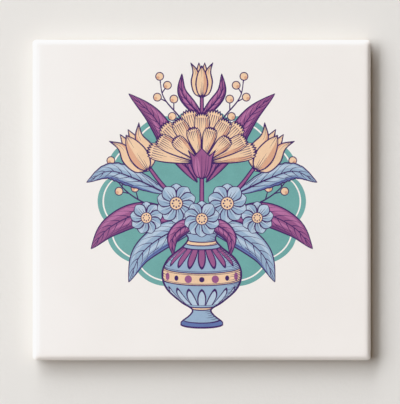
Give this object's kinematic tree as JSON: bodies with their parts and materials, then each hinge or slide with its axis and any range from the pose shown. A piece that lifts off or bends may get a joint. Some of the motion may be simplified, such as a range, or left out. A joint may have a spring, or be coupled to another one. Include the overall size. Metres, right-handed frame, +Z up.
{
  "type": "ceramic tile",
  "caption": "Nearly square glazed ceramic wall tile with softly bevelled face edges, a flat printed face and a keyed back for fixing to a wall.",
  "frame": {"origin": "middle of the back face, where the tile is fixed to its wall", "axes": "+Y out of the back, into the wall, so the glazed face looks along -Y; +Z up; +X to the right seen from the front"},
  "size_m": [0.1524, 0.0064, 0.1446],
  "materials": {
    "glazed_ceramic": "glossy white glaze with a flat printed design, bare fired clay on the back"
  },
  "bodies": {
    "root": {"tile": "glazed_ceramic"}
  },
  "joints": []
}
